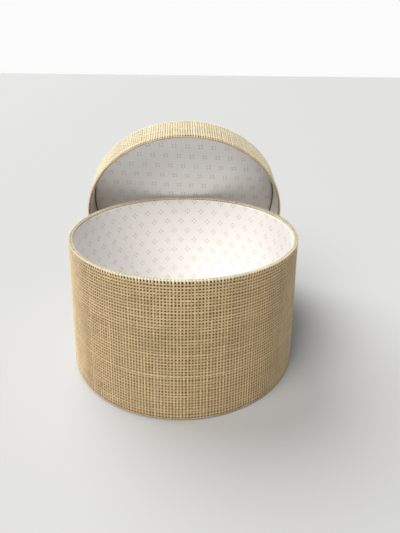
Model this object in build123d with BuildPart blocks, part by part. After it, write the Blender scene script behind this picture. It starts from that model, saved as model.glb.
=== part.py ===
from build123d import *
from math import cos, radians, sin
import os

# A round hat box in millimetres: a board box covered in burlap and lined with printed paper,
# and its loose lid. +Z is up and the box's axis. The origin is the middle of the underside.
# The lid stands on its rim behind the box, hollow side towards -Y, and leans on the box's lip.

# Driving dimensions: the box
box_radius = 125.0  # over the burlap
box_height = 141.4  # underside to the top of the lip
box_board = 2.5  # wall and base board
lip_reveal = 2.6  # burlap left showing inside, above the lining

# Driving dimensions: the lid
lid_radius = 129.3  # over the burlap
lid_depth = 38.8  # rim to the top's edge
band_board = 1.2  # the lid's band is thinner board, easier to roll
top_board = 2.0
rim_reveal = 2.2  # burlap left showing inside, above the lid's lining
crevice = 1.6  # between the edge of the top's lining and the band's

# Driving dimensions: the sheets that cover and join the boards
burlap = 1.0
lining = 0.4  # printed paper on thin card
tape = 0.15  # gummed kraft paper
tape_leg = 9.0  # each leg of a tape folded into a corner
tape_width = 30.0  # the tape across a board's joint
lip_turn_in = 16.0  # burlap turned over the box's lip and glued down inside
rim_turn_in = 10.0  # the same over the lid's rim
hem = 14.0  # burlap turned over a base or a top and glued flat
disc_inset = 3.5  # from the edge to the burlap disc that hides the hem
lip_round = 1.0
board_gap = 0.5  # where a rolled board's ends meet
burlap_lap = 14.0  # overlap of the burlap's ends
lap_rise = 0.7  # how far that overlap stands out, pressed in glue
lining_lap = 11.0

# Where the joints are, in degrees from +X of the box's plane or the lid's
box_board_joint = 35.0
box_burlap_joint = 52.0
box_lining_joint = 123.8
lid_board_joint = 150.0
lid_burlap_joint = 48.0
lid_lining_joint = 118.0

# Where the lid stands
lid_tilt = 22.7  # from upright, leaning over the box
lid_turn = 1.0  # about +Z
lid_aside = 2.8  # towards +X
lean_clearance = 0.3  # between the lid's lining and the lip it leans on

# Heights in the box, from the underside
base_hem_top = 2 * burlap
base_board_top = base_hem_top + box_board
base_lining_top = base_board_top + tape + lining
wall_board_top = box_height - burlap

# Radii in the box, from the outside in
wall_board_outer = box_radius - burlap
wall_board_inner = wall_board_outer - box_board
wall_lining_outer = wall_board_inner - burlap
wall_lining_inner = wall_lining_outer - lining

# Depths in the lid, from the rim
lid_board_end = lid_depth - burlap
lid_board_face = lid_board_end - top_board
lid_tape_face = lid_board_face - tape
lid_inner_depth = lid_tape_face - lining

# Radii in the lid, from the outside in
band_board_outer = lid_radius - burlap
band_board_inner = band_board_outer - band_board
band_lining_outer = band_board_inner - burlap
band_lining_inner = band_lining_outer - lining


def leaning_plane():
    """The lid's plane: origin in the middle of its rim, +Z out through its top."""
    tilt = radians(lid_tilt)
    turn = radians(lid_turn)
    across = Vector(cos(turn), sin(turn), 0)
    back = Vector(-sin(turn), cos(turn), 0)
    up = Vector(0, 0, 1)
    height = lid_radius * cos(tilt)
    lip_reach = box_radius * cos(tilt) + box_height * sin(tilt) + lean_clearance
    reach = (lip_reach - lid_inner_depth - height * sin(tilt)) / cos(tilt)
    middle = back * reach + across * lid_aside + up * height
    return Plane(origin=middle, x_dir=across, z_dir=back * cos(tilt) + up * sin(tilt))


def section_of(plane):
    """The plane through another's axis: its x is the radius and its y the axis."""
    return Plane(origin=plane.origin, x_dir=plane.x_dir, z_dir=-plane.y_dir)


def band(inner, outer, low, high):
    """Adds one rectangle of a turned section, from its radii and heights."""
    with Locations(((inner + outer) / 2, (low + high) / 2)):
        Rectangle(outer - inner, high - low)


def ring(inner, outer):
    """Adds a flat ring to the sketch."""
    Circle(outer)
    Circle(inner, mode=Mode.SUBTRACT)


def keep_strip(angle, width):
    """Keeps the stretch of the sketched ring that a strip of this width covers at an angle."""
    with PolarLocations(box_radius, 1, start_angle=angle):
        Rectangle(width, width, mode=Mode.INTERSECT)


def disc_piece(label, plane, radius, low, high):
    """A flat disc."""
    with BuildPart() as piece:
        with BuildSketch(plane.offset(low)):
            Circle(radius)
        extrude(amount=high - low)
    piece.part.label = label
    return piece


def rolled_board(label, plane, inner, outer, low, high, joint):
    """A strip of board rolled into a ring, with a fine gap where its ends meet."""
    with BuildPart() as piece:
        with BuildSketch(plane.offset(low)):
            ring(inner, outer)
            with PolarLocations((inner + outer) / 2, 1, start_angle=joint):
                Rectangle(2 * (outer - inner), board_gap, mode=Mode.SUBTRACT)
        extrude(amount=high - low)
    piece.part.label = label
    return piece


def joint_tape(label, plane, outer, low, high, joint):
    """The tape glued inside a rolled board, across its joint."""
    with BuildPart() as piece:
        with BuildSketch(plane.offset(low)):
            ring(outer - tape, outer)
            keep_strip(joint, tape_width)
        extrude(amount=high - low)
    piece.part.label = label
    return piece


def corner_tape(label, plane, outer, corner, leg_end):
    """A ring of tape folded into the corner between a disc and a rolled board."""
    towards_disc = tape if leg_end > corner else -tape
    low, high = sorted((corner, leg_end))
    flat_low, flat_high = sorted((corner, corner + towards_disc))
    with BuildPart() as piece:
        with BuildSketch(section_of(plane)):
            band(outer - tape, outer, low, high)
            band(outer - tape_leg, outer, flat_low, flat_high)
        revolve(axis=Axis(plane.origin, plane.z_dir))
    piece.part.label = label
    return piece


def lining_sleeve(label, plane, low, high, inner, outer, joint):
    """A strip of lining round the inside, with its end lapped over its start."""
    with BuildPart() as piece:
        with BuildSketch(plane.offset(low)):
            ring(inner, outer)
        extrude(amount=high - low)
        with BuildSketch(plane.offset(low)):
            ring(inner - lining, inner)
            keep_strip(joint, lining_lap)
        extrude(amount=high - low)
    piece.part.label = label
    return piece


def burlap_sleeve(label, plane, outer, board, lip, turn_in, hem_face, joint):
    """Burlap round a rolled board: turned in over its lip, and turned flat over its other end.

    lip and hem_face are the heights of the sleeve's two ends along the plane's axis.
    """
    inwards = 1 if hem_face > lip else -1
    inner = outer - 2 * burlap - board
    lip_low, lip_high = sorted((lip, lip + inwards * burlap))
    turn_low, turn_high = sorted((lip, lip + inwards * turn_in))
    hem_low, hem_high = sorted((hem_face, hem_face - inwards * burlap))
    low, high = sorted((lip, hem_face))
    with BuildPart() as piece:
        with BuildSketch(section_of(plane)) as section:
            band(outer - burlap, outer, low, high)
            band(inner, outer, lip_low, lip_high)
            band(inner, inner + burlap, turn_low, turn_high)
            band(outer - hem, outer, hem_low, hem_high)
            ends = section.vertices().group_by(Axis.Y)
            corners = ends[0] + ends[-1]
            fillet([corner for corner in corners if corner.X > inner - lip_round], lip_round)
        revolve(axis=Axis(plane.origin, plane.z_dir))
        with BuildSketch(plane.offset(low + 2 * lip_round)):
            ring(outer - burlap / 2, outer + lap_rise)
            keep_strip(joint, burlap_lap)
        extrude(amount=high - low - 4 * lip_round)
    piece.part.label = label
    return piece


def box_pieces():
    """The box, from its boards out to its burlap and in to its lining."""
    plane = Plane.XY
    return [
        rolled_board("box_wall_board", plane, wall_board_inner, wall_board_outer,
                     base_hem_top, wall_board_top, box_board_joint),
        disc_piece("box_base_board", plane, wall_board_inner, base_hem_top, base_board_top),
        joint_tape("box_wall_joint_tape", plane, wall_board_inner,
                   base_board_top + tape_leg, box_height - lip_turn_in, box_board_joint),
        corner_tape("box_base_corner_tape", plane, wall_board_inner,
                    base_board_top, base_board_top + tape_leg),
        burlap_sleeve("box_wall_burlap", plane, box_radius, box_board,
                      box_height, lip_turn_in, burlap, box_burlap_joint),
        disc_piece("box_base_burlap", plane, box_radius - disc_inset, 0, burlap),
        lining_sleeve("box_wall_lining", plane, base_lining_top, box_height - lip_reveal,
                      wall_lining_inner, wall_lining_outer, box_lining_joint),
        disc_piece("box_base_lining", plane, wall_lining_outer,
                   base_board_top + tape, base_lining_top),
    ]


def lid_pieces():
    """The lid, in its own leaning plane, built up the same way."""
    plane = leaning_plane()
    return [
        rolled_board("lid_band_board", plane, band_board_inner, band_board_outer,
                     burlap, lid_board_end, lid_board_joint),
        disc_piece("lid_top_board", plane, band_board_inner, lid_board_face, lid_board_end),
        joint_tape("lid_band_joint_tape", plane, band_board_inner,
                   rim_turn_in, lid_board_face - tape_leg, lid_board_joint),
        corner_tape("lid_top_corner_tape", plane, band_board_inner,
                    lid_board_face, lid_board_face - tape_leg),
        burlap_sleeve("lid_band_burlap", plane, lid_radius, band_board,
                      0, rim_turn_in, lid_depth, lid_burlap_joint),
        disc_piece("lid_top_burlap", plane, lid_radius - disc_inset,
                   lid_depth, lid_depth + burlap),
        lining_sleeve("lid_band_lining", plane, rim_reveal, lid_tape_face,
                      band_lining_inner, band_lining_outer, lid_lining_joint),
        disc_piece("lid_top_lining", plane, band_lining_inner - crevice,
                   lid_inner_depth, lid_tape_face),
    ]


os.makedirs("parts", exist_ok=True)
for piece in box_pieces() + lid_pieces():
    export_step(piece.part, f"parts/{piece.part.label}.step")
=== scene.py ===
import math

import bpy
import numpy as np
from mathutils import Matrix, Vector


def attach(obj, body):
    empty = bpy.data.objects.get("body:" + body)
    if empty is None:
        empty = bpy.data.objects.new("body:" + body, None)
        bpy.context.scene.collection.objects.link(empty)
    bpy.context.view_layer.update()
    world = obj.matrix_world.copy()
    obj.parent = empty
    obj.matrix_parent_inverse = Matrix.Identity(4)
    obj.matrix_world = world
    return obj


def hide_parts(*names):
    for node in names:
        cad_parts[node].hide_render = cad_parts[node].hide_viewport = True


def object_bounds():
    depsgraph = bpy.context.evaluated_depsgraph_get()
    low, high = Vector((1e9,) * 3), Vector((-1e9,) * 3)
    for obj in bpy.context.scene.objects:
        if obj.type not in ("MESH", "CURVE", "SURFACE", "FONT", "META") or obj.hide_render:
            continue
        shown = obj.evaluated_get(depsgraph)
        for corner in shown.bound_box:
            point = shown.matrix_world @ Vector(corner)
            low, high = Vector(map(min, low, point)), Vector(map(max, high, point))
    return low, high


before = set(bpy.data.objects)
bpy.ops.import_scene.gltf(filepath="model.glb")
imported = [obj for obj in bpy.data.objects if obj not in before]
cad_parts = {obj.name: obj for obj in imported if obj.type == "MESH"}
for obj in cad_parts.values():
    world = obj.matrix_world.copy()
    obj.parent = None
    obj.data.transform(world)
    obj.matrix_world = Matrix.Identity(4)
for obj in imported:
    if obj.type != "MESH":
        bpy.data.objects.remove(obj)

# Looks of a round burlap hat box and its lid. Metres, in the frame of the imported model.
# Each burlap cover is woven here thread by thread over its board, and each lining is a sheet
# of printed paper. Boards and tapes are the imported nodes, with materials.

cad_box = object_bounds()

MM = 0.001
WHOLE_TURN = 2 * math.pi

# The burlap
PITCH = 3.0 * MM  # from one thread to the next, both ways
HALF_WIDTH = 0.72 * MM  # of a thread, flattened on its board
HALF_THICK = 0.25 * MM
WAVE = 0.22 * MM  # how far a thread swings over and under the ones it crosses
BURLAP = 1.0 * MM
HEM = 14.0 * MM  # turned under a base or over a top
SIDES = 6  # of a thread's section
RUN_ON = 0.4  # of a pitch: how far a thread goes on past the last one it crosses
RAGGED = 0.3 * MM  # how unevenly the ends are cut
DISC_RAGGED = 0.25 * MM
DISC_TRIM = 0.4 * MM  # from the end of a disc's thread to the disc's edge

# How uneven the threads are. A reach is how far it is from one turn of a wander to the next.
STRAY = 0.10 * MM  # of a whole thread, to one side
STRAY_WANDER = 0.16 * MM  # and of its course
STRAY_REACH = 24 * MM
SLUB = 0.16  # share of a thread's width, along the thread
SLUB_REACH = 9 * MM
WIDTH_SPREAD = 0.05  # and from thread to thread
THINNEST = 0.7
THICKEST = 1.4
TONE = 0.5
TONE_SPREAD = 0.06  # from thread to thread
TONE_WANDER = 0.16  # and along a thread

# The overlap of a sleeve's ends
LAP = 5  # threads
LAP_RISE = 0.7 * MM
LAP_FADE = 2 * PITCH  # how far it stays from the wall's edges, and over which its lift comes in

# The folds of a sleeve
HEM_EDGE = 0.4 * MM  # rounding of a board's edge under the hem
FOLD_EDGE = 0.9 * MM  # and under the fold at a lip or rim
CORNER_POINTS = 4  # along each rounding
FOLD_PITCH = 2.2 * MM  # how close the threads come together on and behind the fold
FOLD_BLEND = 3 * MM  # over which the wall's looks change to the fold's
PUFF = 0.5 * MM  # how far the folded cloth stands off there
PUFF_REACH = 7 * MM  # how far down the wall it does
CREST = 0.28 * MM  # how far the threads over the fold stand above the cloth, and the rest below
CREST_REACH = 2 * MM
UNDER_LINING = 4.0 * MM  # how far the woven fold goes on behind the lining

# The printed paper
LINING = 0.4 * MM
LINING_LAP = 11.0 * MM
PRINT_STEP = 18.84 * MM  # from motif to motif along a row
PRINT_ROW = 14.29 * MM  # from row to row
MOTIF = 2.6 * MM  # from a motif's middle to its dots
DOT = 0.95 * MM  # a dot's radius

# How the paper is not quite flat
STRIP_POINTS = (421, 41)  # round and up a strip
STRIP_WAVES = range(3, 16)  # how many of each kind go to the way round
STRIP_WAVE = 0.035 * MM
STRIP_SLANT = 14  # of the waves, in radians to a metre of height
DISC_POINTS = 73
DISC_WAVES = 9
DISC_WAVE = 0.02 * MM
DISC_RIPPLE = 45  # radians to a metre, each way
PHASE = 6.3  # a wave starts anywhere in about a whole turn
LAP_EASE = 20 * MM  # over which a strip's waves come in from the lap
TOP_EASE = 12 * MM  # and from its upper edge
LAP_STEP = 5 * MM  # over which the lap comes down off the end under it
CUT = 0.05 * MM  # how unevenly the upper edge is cut
CUT_EASE = 4 * MM  # how far down the cut is felt

# The paper's own coordinates put a motif at their origin, a step along a row and a row down
# being the paper's two directions. These say where that origin is on each lining.
WALL_PRINT = (-14.5 * MM, 121.75 * MM)  # from the middle of the back, and from the underside
WALL_SEAM = -76.5 * MM  # the lap's edge, from the middle of the back
WALL_DRIFT = -4.5 * MM  # how far out of step the print is when it comes round to the lap
DRIFT_FROM = 0.42  # share of the way round, from the lap
DRIFT_OVER = 0.3
LID_PRINT = (-8.4 * MM, 77.7 * MM)  # from the middle of the lid's top, to the right and up
LID_PRINT_TURN = 53.2
BASE_PRINT_TURN = 21.0

# Where the sheets' ends are, in degrees from +X of the box's plane or the lid's
BOX_BURLAP_JOINT = 52.0
LID_BURLAP_JOINT = 48.0
BOX_LINING_JOINT = 123.8
LID_LINING_JOINT = 118.0

# The photographer's place: metres and degrees
CAMERA_AT = (0.0, -0.4513, 0.3107)
CAMERA_DOWN = 13.86
CAMERA_TURN = -2.16
CAMERA_ROLL = 0.65
CAMERA_LENS = 28.745
CAMERA_SHIFT = -0.1658


# ---------------------------------------------------------------- measuring the frame

def node_points(node):
    """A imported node's corners, as rows of x, y and z."""
    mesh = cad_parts[node].data
    points = np.empty(len(mesh.vertices) * 3, np.float32)
    mesh.vertices.foreach_get("co", points)
    return points.reshape(-1, 3).astype(float)


def leaning_stand(disc):
    """The stand of a round part from its disc: columns across, down the disc, and outwards."""
    points = node_points(disc)
    middle = points.mean(0)
    outward = np.linalg.svd(points - middle)[2][2]
    outward = outward * np.sign(outward[1])
    across = np.cross(outward, (0, 0, 1))
    across /= np.linalg.norm(across)
    down = np.cross(outward, across)
    flat = (points - middle) @ np.array([across, down]).T
    sums = np.column_stack([2 * flat, np.ones(len(flat))])
    centre = np.linalg.lstsq(sums, (flat**2).sum(1), rcond=None)[0]
    origin = middle + centre[0] * across + centre[1] * down
    return origin, np.array([across, down, outward])


class Stand:
    """A place with its own axes, +Z along the axis of what is turned round it."""

    def __init__(self, origin, axes):
        self.origin = np.array(origin, float)
        self.axes = np.array(axes, float)

    def rows(self, node):
        """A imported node's radii and heights round this stand: inner, outer, low, high."""
        local = (node_points(node) - self.origin) @ self.axes.T
        radius = np.hypot(local[:, 0], local[:, 1])
        return radius.min(), radius.max(), local[:, 2].min(), local[:, 2].max()

    def out(self, x, y, z):
        """Points of the model from this stand's coordinates."""
        local = np.stack(np.broadcast_arrays(x, y, z), -1)
        return self.origin + local @ self.axes


box_stand = Stand((0, 0, 0), np.eye(3))
lid_stand = Stand(*leaning_stand("lid_top_lining"))
lid_stand.origin += lid_stand.axes[2] * lid_stand.rows("lid_band_burlap")[2]


# ---------------------------------------------------------------- making meshes

def mesh_piece(name, points, quads, layers, shades):
    """A piece from corners and four-sided faces. layers holds UVs for each face's corners, and
    shades holds numbers for each corner."""
    mesh = bpy.data.meshes.new(name)
    mesh.vertices.add(len(points))
    mesh.vertices.foreach_set("co", points.astype(np.float32).ravel())
    mesh.loops.add(quads.size)
    mesh.loops.foreach_set("vertex_index", quads.astype(np.int32).ravel())
    mesh.polygons.add(len(quads))
    mesh.polygons.foreach_set("loop_start", np.arange(0, quads.size, 4, dtype=np.int32))
    mesh.polygons.foreach_set("use_smooth", np.ones(len(quads), bool))
    for layer, coordinates in layers.items():
        uv = mesh.uv_layers.new(name=layer)
        uv.data.foreach_set("uv", coordinates.astype(np.float32).ravel())
    for shade, values in shades.items():
        attribute = mesh.attributes.new(shade, "FLOAT", "POINT")
        attribute.data.foreach_set("value", values.astype(np.float32))
    mesh.update(calc_edges=True)
    mesh.validate()
    piece = bpy.data.objects.new(name, mesh)
    bpy.context.scene.collection.objects.link(piece)
    return piece


def eased(x):
    """0 below 0, 1 above 1, and smooth between."""
    x = np.clip(x, 0, 1)
    return x * x * (3 - 2 * x)


def wander(rng, along, reach):
    """A smooth random line, about -1 to 1, that turns every reach metres along."""
    knots = max(2, int(np.ptp(along) / reach) + 3)
    values = rng.normal(0, 0.5, knots)
    where = (along - along.min()) / reach + rng.uniform(0, 1)
    low = np.floor(where).astype(int)
    part = eased(where - low)
    values = np.append(values, values[-1])
    return values[np.minimum(low, knots)] * (1 - part) + values[np.minimum(low + 1, knots)] * part


# ---------------------------------------------------------------- surfaces to cover

class Sleeve:
    """A surface turned round a stand: s is the way round, t the way along its outline. The
    outline goes along the hem, up the wall, over the fold and down behind the lining. side is
    1 if it climbs the stand's axis on the outside, and -1 if it descends there. Of the last two
    arguments, the first is how far the cloth's colour goes over to a paler one, as painted light
    on the parts that face the lamps, and the second its threads' width, on the wall and on the
    fold."""

    def __init__(self, stand, outline, side, joint, radius, painted_paleness, spread):
        self.stand = stand
        self.radius = radius
        self.painted_paleness = painted_paleness
        self.spread = spread
        self.round = WHOLE_TURN * radius
        self.count = 2 * round(self.round / PITCH / 2)
        self.step = self.round / self.count
        self.start = math.radians(joint) - LAP / 2 * self.step / radius
        self.trace(np.array(outline, float), side)

    def trace(self, outline, side):
        """The outline with its corners rounded, and the direction out of it at each point."""
        steps = np.diff(outline, axis=0)
        spans = np.linalg.norm(steps, axis=1)
        steps /= spans[:, None]
        outs = side * np.column_stack([steps[:, 1], -steps[:, 0]])
        points, normals = [outline[0]], [outs[0]]
        for k, rounding in enumerate((HEM_EDGE, FOLD_EDGE, FOLD_EDGE), 1):
            rounding = min(rounding, spans[k - 1] / 2, spans[k] / 2)
            for turn in np.linspace(0, math.pi / 2, CORNER_POINTS):
                before = steps[k - 1] * rounding * (math.sin(turn) - 1)
                after = steps[k] * rounding * (1 - math.cos(turn))
                points.append(outline[k] + before + after)
                normals.append(outs[k - 1] * math.cos(turn) + outs[k] * math.sin(turn))
        points.append(outline[-1])
        normals.append(outs[-1])
        self.points = np.array(points)
        self.normals = np.array(normals)
        lengths = np.linalg.norm(np.diff(self.points, axis=0), axis=1)
        self.marks = np.concatenate([[0], np.cumsum(lengths)])
        self.length = self.marks[-1]
        second, third = 1 + CORNER_POINTS, 1 + 2 * CORNER_POINTS
        self.wall = self.marks[[second - 1, second]]  # from the first rounding to the second
        self.fold = self.marks[second:third].mean()  # the middle of the second
        self.inner_edge = self.marks[third]

    def rise(self, s, t):
        """The lift of the sleeve's last threads over its first, on the wall alone."""
        over = eased((s - self.round) / self.step + 1.5)
        low, high = self.wall
        return LAP_RISE * over * eased((t - low) / LAP_FADE) * eased((high - t) / LAP_FADE)

    def between(self, values, t):
        """Goes over from the value for the wall to the value for the fold."""
        on_fold = eased((t - self.fold) / FOLD_BLEND + 1)
        return values[0] * (1 - on_fold) + values[1] * on_fold

    def puff(self, t):
        """The cloth's lift off its board at the fold, dying away down the wall and at the lining.
        """
        return PUFF * eased((t - self.fold) / PUFF_REACH + 1) * self.before_lining(t)

    def crest(self, t):
        """1 along the top of the fold, where the threads that cross it lie on the others."""
        return eased((t - self.fold) / CREST_REACH + 1) * self.before_lining(t)

    def before_lining(self, t):
        """1 down to 0 past the fold's inner edge, where the cloth goes in behind the lining."""
        return eased((self.inner_edge + 0.5 * MM - t) / (1.5 * MM))

    def place(self, s, t, lift):
        """Points of the model at s, t and lift above the surface."""
        lift = lift + self.rise(s, t) + self.puff(t)
        spots = [np.interp(t, self.marks, self.points[:, k]) for k in (0, 1)]
        outs = [np.interp(t, self.marks, self.normals[:, k]) for k in (0, 1)]
        radius = spots[0] + outs[0] * lift
        height = spots[1] + outs[1] * lift
        angle = self.start + s / self.radius
        return self.stand.out(radius * np.cos(angle), radius * np.sin(angle), height)


class Disc:
    """A flat surface across a stand: s and t run across it, from its middle. turn, in degrees,
    is how the cloth lies on it, and side is 1 or -1 as it faces along the stand or back."""

    def __init__(self, stand, height, side, turn, painted_paleness, spread):
        self.stand = stand
        self.height = height
        self.side = side
        self.turn = math.radians(turn)
        self.painted_paleness = painted_paleness
        self.spread = spread

    def between(self, value, t):
        """The same value everywhere, as a disc has no fold."""
        return np.full(len(t), value)

    def place(self, s, t, lift):
        """Points of the model at s, t and lift above the surface."""
        x = s * math.cos(self.turn) - t * math.sin(self.turn)
        y = s * math.sin(self.turn) + t * math.cos(self.turn)
        return self.stand.out(x, y, self.height + self.side * lift)


# ---------------------------------------------------------------- burlap

class Weaver:
    """Gathers the threads of one cloth into one mesh."""

    def __init__(self, surface, seed):
        self.surface = surface
        self.rng = np.random.default_rng(seed)
        self.points, self.quads, self.uvs, self.tones, self.painted_pales = [], [], [], [], []
        self.count = 0

    def thread(self, s, t, lift, across):
        """One thread through the points s, t, lift. across is (1, 0) if it strays along s."""
        rng = self.rng
        along = np.abs(t - t[0]) + np.abs(s - s[0])
        stray = rng.normal(0, STRAY) + wander(rng, along, STRAY_REACH) * STRAY_WANDER
        s, t = s + across[0] * stray, t + across[1] * stray
        slub = wander(rng, along, SLUB_REACH) * SLUB + rng.normal(0, WIDTH_SPREAD)
        centre = self.surface.place(s, t, lift)
        out = self.surface.place(s, t, lift + MM) - centre
        out /= np.linalg.norm(out, axis=1)[:, None]
        ahead = np.gradient(centre, axis=0)
        side = np.cross(out, ahead)
        side /= np.linalg.norm(side, axis=1)[:, None]
        turns = np.arange(SIDES) * WHOLE_TURN / SIDES
        spread = self.surface.between(self.surface.spread, t)
        wide = (HALF_WIDTH * np.clip(1 + slub, THINNEST, THICKEST) * spread)[:, None, None]
        section = wide * np.cos(turns)[None, :, None] * side[:, None, :]
        section = section + HALF_THICK * np.sin(turns)[None, :, None] * out[:, None, :]
        self.add_tube(centre[:, None, :] + section, along)
        tone = TONE + TONE_SPREAD * rng.normal() + TONE_WANDER * wander(rng, along, SLUB_REACH)
        self.tones.append(np.repeat(tone, SIDES))
        # Each corner's share of the paler colour that stands for painted light.
        self.painted_pales.append(np.repeat(self.surface.between(self.surface.painted_paleness, t), SIDES))

    def add_tube(self, rings, along):
        """The faces round one six-sided thread and over its two ends."""
        steps = len(rings)
        ring = np.arange(steps - 1)[:, None] * SIDES
        near = np.arange(SIDES)[None, :]
        far = (near + 1) % SIDES
        round_it = np.stack([ring + near, ring + far, ring + SIDES + far, ring + SIDES + near], -1)
        last = (steps - 1) * SIDES
        ends = np.array([[0, 3, 2, 1], [0, 5, 4, 3], [last, last + 1, last + 2, last + 3],
                         [last, last + 3, last + 4, last + 5]])
        u = np.stack([along[:-1], along[:-1], along[1:], along[1:]], -1)[:, None, :]
        v = np.stack([near, near + 1, near + 1, near], -1) * (HALF_WIDTH * 4 / SIDES)
        uv = np.stack(np.broadcast_arrays(u, v), -1)
        end_uv = np.zeros((4, 4, 2))
        end_uv[:2, :, 0] = along[0]
        end_uv[2:, :, 0] = along[-1]
        self.points.append(rings.reshape(-1, 3))
        self.quads.append(np.concatenate([round_it.reshape(-1, 4), ends]) + self.count)
        self.uvs.append(np.concatenate([uv.reshape(-1, 4, 2), end_uv]).reshape(-1, 2))
        self.count += steps * SIDES

    def piece(self, name):
        """The cloth, with a tone and a share of painted light for each corner."""
        return mesh_piece(name, np.concatenate(self.points), np.concatenate(self.quads),
                          {"thread": np.concatenate(self.uvs)},
                          {"tone": np.concatenate(self.tones), "painted_pale": np.concatenate(self.painted_pales)})


def swing(distance, step, number, held=0.0):
    """How high a thread lies at a distance along it: over, under, over the ones it crosses.
    held is 1 where it lies on all of them, and -1 where it lies under them all."""
    height = WAVE * np.cos(math.pi * (distance / step - number))
    return BURLAP / 2 + height * (1 - np.abs(held)) + CREST * held


def weave_sleeve(name, surface, seed):
    """Burlap round a sleeve, from its hem to the fold behind the lining. Its ends overlap on the
    wall, and meet on the fold and the hem, where the lower end is cut away."""
    weaver = Weaver(surface, seed)
    step, fold = surface.step, surface.fold
    lap_low, lap_high = surface.wall + np.array([LAP_FADE, -LAP_FADE])
    numbers = np.arange(math.ceil(-fold / PITCH), int((surface.length - fold) / FOLD_PITCH) + 1)
    rows = fold + numbers * np.where(numbers > 0, FOLD_PITCH, PITCH)
    stations = np.unique(np.concatenate([rows, surface.marks]))
    for i in range(surface.count + LAP):
        t = stations
        if i < LAP:
            t = t[(t > lap_low) & (t < lap_high)]
        passed = (t - fold) / np.where(t > fold, FOLD_PITCH, PITCH)
        lift = swing(passed, 1, i, surface.crest(t))
        weaver.thread(np.full(len(t), i * step), t, lift, (1, 0))
    for j, row in zip(numbers, rows):
        first = -RUN_ON if lap_low < row < lap_high else LAP - RUN_ON
        last = surface.count + LAP - 1 + RUN_ON
        ends = np.array([first, last]) * step + weaver.rng.normal(0, RAGGED, 2)
        inside = np.arange(math.ceil(first), surface.count + LAP) * step
        s = np.concatenate([[ends[0]], inside, [ends[1]]])
        lift = swing(s, step, j + 1, -surface.crest(row))
        weaver.thread(s, np.full(len(s), row), lift, (0, 1))
    piece = weaver.piece(name)
    return piece


def weave_disc(name, surface, radius, seed):
    """A round of burlap, cut across its threads."""
    weaver = Weaver(surface, seed)
    reach = int(radius / PITCH)
    for across, odd in (((1, 0), 0), ((0, 1), 1)):
        for i in range(-reach, reach + 1):
            chord = math.sqrt(radius**2 - (i * PITCH) ** 2) - DISC_TRIM
            ends = chord + weaver.rng.normal(0, DISC_RAGGED, 2)
            inside = np.arange(-reach, reach + 1) * PITCH
            inside = inside[np.abs(inside) < chord - PITCH / 2]
            along = np.concatenate([[-ends[0]], inside, [ends[1]]])
            fixed = np.full(len(along), i * PITCH)
            s, t = (fixed, along) if across[0] else (along, fixed)
            weaver.thread(s, t, swing(along, PITCH, i + odd), across)
    piece = weaver.piece(name)
    return piece


def box_wall_burlap():
    """Fresh straw on the wall, and paler over the lip as painted light where it faces the lamps."""
    inner, outer, low, high = box_stand.rows("box_wall_board")
    fold_end = box_stand.rows("box_wall_lining")[3] - UNDER_LINING
    outline = [(outer + BURLAP - HEM, low), (outer, low), (outer, high), (inner, high),
               (inner, fold_end)]
    # The fold over the lip takes most of the paler colour: painted light where it faces the lamps.
    surface = Sleeve(box_stand, outline, 1, BOX_BURLAP_JOINT, outer,
                     painted_paleness=(0.0, 0.85), spread=(1.0, 1.15))
    return weave_sleeve("box_wall_burlap_weave", surface, 11)


def lid_band_burlap():
    """The band's cloth painted pale as painted light from above, less so where it is folded over
    the rim.
    """
    inner, outer, low, high = lid_stand.rows("lid_band_board")
    fold_end = lid_stand.rows("lid_band_lining")[2] + UNDER_LINING
    outline = [(outer + BURLAP - HEM, high), (outer, high), (outer, low), (inner, low),
               (inner, fold_end)]
    # The band takes much of the paler colour and the rim less: painted light from above, the rim
    # facing away from it.
    surface = Sleeve(lid_stand, outline, -1, LID_BURLAP_JOINT, outer,
                     painted_paleness=(0.8, 0.4), spread=(1.25, 1.1))
    return weave_sleeve("lid_band_burlap_weave", surface, 12)


def box_base_burlap():
    """Fresh cloth under the base, over the hem."""
    _, radius, _, high = box_stand.rows("box_base_burlap")
    surface = Disc(box_stand, high, -1, 9.0, painted_paleness=0.0, spread=1.0)
    return weave_disc("box_base_burlap_weave", surface, radius, 13)


def lid_top_burlap():
    """The lid's top cloth over the hem, painted pale as painted light from above."""
    _, radius, low, _ = lid_stand.rows("lid_top_burlap")
    # The whole top takes the paler colour, as painted light.
    surface = Disc(lid_stand, low, 1, -4.0, painted_paleness=1.0, spread=1.2)
    return weave_disc("lid_top_burlap_weave", surface, radius, 14)


# ---------------------------------------------------------------- printed paper

def sheet_solid(name, front, back, print_at):
    """A thin sheet from the grids of its two faces. print_at holds the paper's own coordinates."""
    rows, columns = front.shape[:2]
    at = np.arange(rows * columns).reshape(rows, columns)
    face = np.stack([at[:-1, :-1], at[1:, :-1], at[1:, 1:], at[:-1, 1:]], -1).reshape(-1, 4)
    other = face[:, ::-1] + rows * columns
    border = np.concatenate([at[0, :], at[1:, -1], at[-1, -2::-1], at[-2:0:-1, 0]])
    after = np.roll(border, -1)
    rim = np.stack([border, after, after + rows * columns, border + rows * columns], -1)
    quads = np.concatenate([face, other, rim])
    points = np.concatenate([front.reshape(-1, 3), back.reshape(-1, 3)])
    coordinates = np.concatenate([print_at.reshape(-1, 2)] * 2)
    return mesh_piece(name, points, quads, {"print": coordinates[quads.ravel()]}, {})


def sleeve_waves(rng, s, t, inner, full, low, high):
    """How far a strip stands off its wall, slightly, and not at its lap or its upper edge."""
    waves = sum(
        rng.normal(0, STRIP_WAVE) * np.sin(s / inner * n + rng.uniform(0, PHASE)
                                           + (t - low) * rng.normal(0, STRIP_SLANT))
        for n in STRIP_WAVES
    )
    waves = waves * eased((high - t) / TOP_EASE)
    return waves * (eased((s - LINING_LAP) / LAP_EASE) * eased((full - s) / LAP_EASE))


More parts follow.
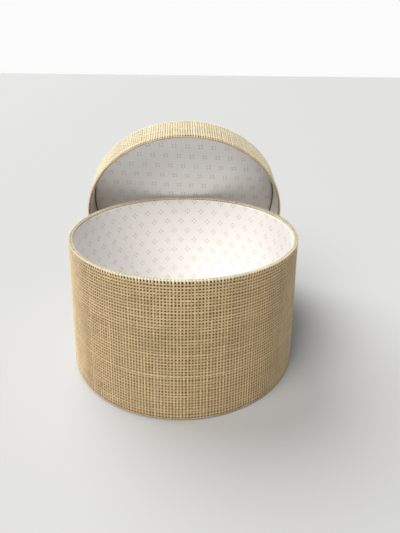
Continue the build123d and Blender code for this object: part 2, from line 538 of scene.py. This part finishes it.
def lining_sleeve(name, stand, node, joint, print_of, seed):
    """A strip of printed paper round the inside, its first end lapped over its last."""
    rng = np.random.default_rng(seed)
    _, outer, low, high = stand.rows(node)
    inner = outer - LINING
    full = WHOLE_TURN * inner
    start = math.radians(joint) + LINING_LAP / 2 / inner
    s = np.linspace(0, full + LINING_LAP, STRIP_POINTS[0])
    on_the_step = LINING_LAP + LAP_STEP * np.array([0.2, 0.6])
    s = np.sort(np.append(s, on_the_step))[:, None]
    t = np.linspace(low, high, STRIP_POINTS[1])[None, :]
    waves = sleeve_waves(rng, s, t, inner, full, low, high)
    over = LINING * 0.95 * eased(1 - (s - LINING_LAP) / LAP_STEP)
    face = inner - over - waves - 0.04 * MM
    angle = start - s / inner
    cut = rng.normal(0, CUT, s.shape)
    height = t + cut * eased((t - high + CUT_EASE) / CUT_EASE)
    front = stand.out(face * np.cos(angle), face * np.sin(angle), height)
    rear = face + LINING * 0.9
    back = stand.out(rear * np.cos(angle), rear * np.sin(angle), height)
    return sheet_solid(name, front, back, print_of(s, t, full))


def lining_disc(name, stand, node, side, print_of, seed):
    """A round of printed paper. side is 1 if its printed face looks along the stand's axis."""
    rng = np.random.default_rng(seed)
    _, radius, low, high = stand.rows(node)
    a, b = np.meshgrid(*[np.linspace(-1, 1, DISC_POINTS)] * 2, indexing="ij")
    x = a * np.sqrt(1 - b * b / 2) * radius
    y = b * np.sqrt(1 - a * a / 2) * radius
    waves = sum(
        rng.normal(0, DISC_WAVE) * np.sin(x * rng.normal(0, DISC_RIPPLE)
                                          + y * rng.normal(0, DISC_RIPPLE)
                                          + rng.uniform(0, PHASE))
        for _ in range(DISC_WAVES)
    )
    near, far = (high, low) if side > 0 else (low, high)
    front = stand.out(x, y, near + side * (waves - 0.06 * MM))
    back = stand.out(x, y, np.full_like(x, far))
    if side < 0:
        front, back = front[::-1], back[::-1]
        x, y = x[::-1], y[::-1]
    return sheet_solid(name, front, back, print_of(x, y))


def wall_print(s, t, full):
    """The wall's print, in step at the back and out of step where it comes round to the lap."""
    drift = WALL_DRIFT * eased((s / full - DRIFT_FROM) / DRIFT_OVER)
    return np.stack(np.broadcast_arrays(s + WALL_SEAM - WALL_PRINT[0] + drift,
                                        t - WALL_PRINT[1]), -1)


def band_print(s, t, full):
    return np.stack(np.broadcast_arrays(s, t), -1)


def turned_print(right, up, turn):
    """The paper's coordinates at a point right and up of its origin, the paper being turned."""
    cosine, sine = math.cos(math.radians(turn)), math.sin(math.radians(turn))
    return np.stack([cosine * right + sine * up, cosine * up - sine * right], -1)


def lid_print(x, y):
    return turned_print(x - LID_PRINT[0], -y - LID_PRINT[1], LID_PRINT_TURN)


def base_print(x, y):
    return turned_print(x, y, BASE_PRINT_TURN)


def box_wall_lining():
    return lining_sleeve("box_wall_lining_sheet", box_stand, "box_wall_lining",
                         BOX_LINING_JOINT, wall_print, 21)


def box_base_lining():
    return lining_disc("box_base_lining_sheet", box_stand, "box_base_lining", 1, base_print, 22)


def lid_band_lining():
    return lining_sleeve("lid_band_lining_sheet", lid_stand, "lid_band_lining",
                         LID_LINING_JOINT, band_print, 23)


def lid_top_lining():
    return lining_disc("lid_top_lining_sheet", lid_stand, "lid_top_lining", -1, lid_print, 24)


# ---------------------------------------------------------------- materials

class Tree:
    """A node tree under construction."""

    def __init__(self, tree):
        self.nodes = tree.nodes
        self.links = tree.links

    def feed(self, socket, value):
        """Puts a number, a colour or another node's output into a socket."""
        if isinstance(value, bpy.types.NodeSocket):
            self.links.new(value, socket)
        elif value is not None:
            socket.default_value = value

    def node(self, kind, **settings):
        made = self.nodes.new("ShaderNode" + kind)
        for key, value in settings.items():
            setattr(made, key, value)
        return made

    def math(self, operation, a, b=None, c=None):
        made = self.node("Math", operation=operation)
        for socket, value in zip(made.inputs, (a, b, c)):
            self.feed(socket, value)
        return made.outputs[0]

    def mix(self, share, a, b):
        """From colour a to colour b."""
        made = self.node("Mix", data_type="RGBA")
        self.feed(made.inputs["Factor"], share)
        self.feed(made.inputs["A"], a)
        self.feed(made.inputs["B"], b)
        return made.outputs["Result"]

    def ramp(self, value, low, high, start=0.0, end=1.0):
        """value mapped from low..high to start..end, and held there."""
        made = self.node("MapRange", interpolation_type="SMOOTHSTEP")
        for socket, number in zip(made.inputs, (value, low, high, start, end)):
            self.feed(socket, number)
        return made.outputs[0]

    def split(self, vector):
        """A vector's parts, as three outputs."""
        made = self.node("SeparateXYZ")
        self.links.new(vector, made.inputs[0])
        return made.outputs

    def noise(self, vector, scale, detail=3.0, roughness=0.55):
        made = self.node("TexNoise")
        self.feed(made.inputs["Vector"], vector)
        self.feed(made.inputs["Scale"], scale)
        self.feed(made.inputs["Detail"], detail)
        self.feed(made.inputs["Roughness"], roughness)
        return made.outputs["Fac"]

    def scaled(self, vector, scale):
        made = self.node("Mapping")
        self.feed(made.inputs["Vector"], vector)
        self.feed(made.inputs["Scale"], scale)
        return made.outputs["Vector"]


class Recipe(Tree):
    """A material under construction."""

    def __init__(self, name):
        self.material = bpy.data.materials.new(name)
        self.material.use_nodes = True
        super().__init__(self.material.node_tree)
        self.shader = self.nodes["Principled BSDF"]

    def put(self, socket, value):
        """Puts a number, a colour or a node's output into the shader."""
        self.feed(self.shader.inputs[socket], value)

    def place(self):
        """A point's place on its object, in metres."""
        return self.node("TexCoord").outputs["Object"]

    def bump(self, height, distance, strength):
        made = self.node("Bump")
        made.inputs["Strength"].default_value = strength
        made.inputs["Distance"].default_value = distance
        self.links.new(height, made.inputs["Height"])
        self.put("Normal", made.outputs["Normal"])


def burlap_material():
    """Jute: straw and brown threads, fibres along each thread, some dull and some pale at random,
    with a paler colour mixed in as painted light on the parts that face the lamps.
    """
    recipe = Recipe("jute_burlap")
    tone = recipe.node("Attribute", attribute_name="tone").outputs["Fac"]
    thread = recipe.node("UVMap", uv_map="thread").outputs["UV"]
    fibres = recipe.noise(recipe.scaled(thread, (260.0, 2600.0, 1.0)), 1.0, 4.0, 0.7)
    blotch = recipe.noise(recipe.place(), 34.0, 2.0)
    shade = recipe.math("MULTIPLY_ADD", fibres, 0.4, recipe.math("SUBTRACT", tone, 0.2))
    shade = recipe.math("MULTIPLY_ADD", recipe.math("SUBTRACT", blotch, 0.5), 0.2, shade)
    shade = recipe.ramp(shade, 0.0, 1.0)
    fresh = recipe.mix(shade, (0.37, 0.26, 0.125, 1), (0.76, 0.575, 0.325, 1))
    # This paler colour is painted light, for the lip, the band and the lid's top where they face
    # the lamps.
    painted_lit_colour = recipe.mix(shade, (0.54, 0.47, 0.32, 1), (0.84, 0.77, 0.58, 1))
    painted_pale = recipe.node("Attribute", attribute_name="painted_pale").outputs["Fac"]
    recipe.put("Base Color", recipe.mix(painted_pale, fresh, painted_lit_colour))
    recipe.put("Roughness", recipe.ramp(fibres, 0.2, 0.8, 0.78, 0.95))
    recipe.put("Sheen Weight", 0.5)
    recipe.put("Sheen Roughness", 0.4)
    recipe.put("Specular IOR Level", 0.25)
    recipe.bump(fibres, 0.2 * MM, 0.6)
    return recipe.material


def off_grid(recipe, place, spacing, shifted):
    """How far a place is from the nearest of a row of points, in metres. shifted moves them on
    by half their spacing."""
    share = recipe.math("DIVIDE", place, spacing)
    if shifted:
        share = recipe.math("SUBTRACT", share, 0.5)
    rest = recipe.math("SUBTRACT", share, recipe.math("ROUND", share))
    return recipe.math("MULTIPLY", recipe.math("ABSOLUTE", rest), spacing)


def dots(recipe, u, v, shifted):
    """How far a point is from the nearest dot of one set of the print's rows, in metres."""
    aside = off_grid(recipe, u, PRINT_STEP, shifted)
    above = off_grid(recipe, v, 2 * PRINT_ROW, shifted)
    larger = recipe.math("MAXIMUM", aside, above)
    smaller = recipe.math("MINIMUM", aside, above)
    gap = recipe.math("SUBTRACT", larger, MOTIF)
    squares = recipe.math("ADD", recipe.math("MULTIPLY", gap, gap),
                          recipe.math("MULTIPLY", smaller, smaller))
    return recipe.math("SQRT", squares)


def lining_material():
    """White paper, faintly mottled, printed with rows of four small pink dots."""
    recipe = Recipe("printed_paper")
    paper = recipe.node("UVMap", uv_map="print").outputs["UV"]
    u, v, _ = recipe.split(paper)
    nearest = recipe.math("MINIMUM", dots(recipe, u, v, False), dots(recipe, u, v, True))
    speck = recipe.noise(paper, 1400.0, 2.0)
    ink = recipe.ramp(nearest, DOT * 0.65, DOT * 1.35, 1.0, 0.0)
    ink = recipe.math("MULTIPLY", ink, recipe.ramp(speck, 0.2, 0.6, 0.72, 1.0))
    mottle = recipe.noise(paper, 55.0, 3.0)
    white = recipe.mix(mottle, (0.82, 0.81, 0.81, 1), (0.85, 0.84, 0.84, 1))
    recipe.put("Base Color", recipe.mix(ink, white, (0.64, 0.47, 0.44, 1)))
    grain = recipe.noise(paper, 900.0, 4.0, 0.6)
    recipe.put("Roughness", recipe.ramp(grain, 0.2, 0.8, 0.52, 0.68))
    recipe.put("Specular IOR Level", 0.35)
    recipe.bump(grain, 0.03 * MM, 0.5)
    return recipe.material


def board_material():
    """Pulp board with brown glue, flecks and clouds, its brown darkened as painted shade for the
    gaps between the threads where it shows.
    """
    recipe = Recipe("pulp_board_in_painted_shade")
    place = recipe.place()
    flecks = recipe.noise(place, 420.0, 4.0, 0.65)
    clouds = recipe.noise(place, 26.0, 2.0)
    shade = recipe.math("MULTIPLY_ADD", clouds, 0.5, recipe.math("MULTIPLY", flecks, 0.6))
    shade = recipe.ramp(shade, 0.25, 0.85)
    # These browns are kept very dark: painted shade for where the board shows between the threads.
    recipe.put("Base Color", recipe.mix(shade, (0.04, 0.017, 0.006, 1), (0.10, 0.045, 0.018, 1)))
    recipe.put("Roughness", recipe.ramp(flecks, 0.2, 0.8, 0.8, 0.95))
    recipe.bump(flecks, 0.1 * MM, 0.5)
    return recipe.material


def tape_material():
    """Gummed kraft paper with its long fibres, its brown darkened as painted shade for the crevices
    where it shows.
    """
    recipe = Recipe("kraft_tape_in_painted_shade")
    fibres = recipe.noise(recipe.scaled(recipe.place(), (500.0, 500.0, 90.0)), 1.0, 4.0, 0.6)
    shade = recipe.ramp(fibres, 0.3, 0.7)
    # These browns are darker than kraft paper: painted shade in the crevices where the tape shows.
    recipe.put("Base Color", recipe.mix(shade, (0.12, 0.078, 0.042, 1), (0.20, 0.135, 0.075, 1)))
    recipe.put("Roughness", recipe.ramp(fibres, 0.2, 0.8, 0.6, 0.8))
    recipe.bump(fibres, 0.05 * MM, 0.5)
    return recipe.material


def floor_material():
    recipe = Recipe("pale_floor")
    recipe.put("Base Color", (0.43, 0.435, 0.45, 1))
    recipe.put("Roughness", 0.9)
    return recipe.material


# ---------------------------------------------------------------- building the looks

def dress(piece, material):
    piece.data.materials.clear()
    piece.data.materials.append(material)


def build_object():
    """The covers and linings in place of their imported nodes, and materials for the rest."""
    materials = {"burlap": burlap_material(), "lining": lining_material(),
                 "board": board_material(), "tape": tape_material()}
    makers = {"box_wall_burlap": box_wall_burlap, "lid_band_burlap": lid_band_burlap,
              "box_base_burlap": box_base_burlap, "lid_top_burlap": lid_top_burlap,
              "box_wall_lining": box_wall_lining, "box_base_lining": box_base_lining,
              "lid_band_lining": lid_band_lining, "lid_top_lining": lid_top_lining}
    for node, make in makers.items():
        body, _, slot = node.split("_")
        piece = make()
        dress(piece, materials[slot])
        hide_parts(node)
        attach(piece, body)
    for name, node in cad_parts.items():
        kind = name.split("_")[-1]
        if kind in ("board", "tape"):
            dress(node, materials[kind])


def build_floor():
    """A pale floor, far wider than the view."""
    side = 60.0
    floor_z = cad_box[0].z
    corners = [(-side, -side, floor_z), (side, -side, floor_z), (side, side, floor_z),
               (-side, side, floor_z)]
    mesh = bpy.data.meshes.new("floor")
    mesh.from_pydata(corners, [], [(0, 1, 2, 3)])
    mesh.materials.append(floor_material())
    floor = bpy.data.objects.new("floor", mesh)
    bpy.context.scene.collection.objects.link(floor)


def soft_light(name, azimuth, height, strength, colour, spread=50):
    """A lamp too far off to fade across the floor. azimuth and height say where it hangs, and
    spread how wide it looks, all in degrees."""
    data = bpy.data.lights.new(name, "SUN")
    data.angle = math.radians(spread)
    data.energy = strength * math.pi
    data.color = colour
    light = bpy.data.objects.new(name, data)
    bpy.context.scene.collection.objects.link(light)
    azimuth, height = math.radians(azimuth), math.radians(height)
    hangs = Vector((math.cos(height) * math.cos(azimuth), math.cos(height) * math.sin(azimuth),
                    math.sin(height)))
    light.rotation_euler = (-hangs).to_track_quat("-Z", "Y").to_euler()


def build_lights():
    """Two broad lamps high on the left, behind and in front, and a weak one on the right."""
    soft_light("behind_left", 135, 50, 1.05, (0.98, 1.0, 0.98))
    soft_light("front_left", 236, 50, 1.14, (1.0, 0.96, 0.89))
    soft_light("front_right", 315, 50, 0.04, (0.85, 0.95, 1.0))
    bpy.context.scene.view_settings.view_transform = "Standard"


def build_surroundings():
    """A dim room, brighter near the floor, with a low white wall behind the object."""
    world = bpy.data.worlds.new("surroundings")
    world.use_nodes = True
    tree = Tree(world.node_tree)
    _, behind, up = tree.split(tree.node("TexCoord").outputs["Generated"])
    room = tree.ramp(up, 0.10, 0.50, 0.14, 0.03)
    below = tree.ramp(up, 0.18, 0.30, 0.97, 0.0)
    wall = tree.math("MULTIPLY", tree.ramp(behind, 0.62, 0.80), below)
    background = tree.nodes["Background"]
    tree.feed(background.inputs["Strength"], tree.math("MAXIMUM", room, wall))
    tree.feed(background.inputs["Color"], (1, 1, 1, 1))
    bpy.context.scene.world = world


def build_camera():
    """The photographer's view."""
    data = bpy.data.cameras.new("camera")
    data.lens = CAMERA_LENS
    data.shift_y = CAMERA_SHIFT
    data.clip_start = 0.01
    camera = bpy.data.objects.new("camera", data)
    bpy.context.scene.collection.objects.link(camera)
    turn = Matrix.Rotation(math.radians(CAMERA_TURN), 4, "Z")
    tip = Matrix.Rotation(math.radians(90 - CAMERA_DOWN), 4, "X")
    roll = Matrix.Rotation(math.radians(CAMERA_ROLL), 4, "Z")
    camera.matrix_world = Matrix.Translation(CAMERA_AT) @ turn @ tip @ roll
    bpy.context.scene.camera = camera


build_camera()
build_object()
build_floor()
build_lights()
build_surroundings()
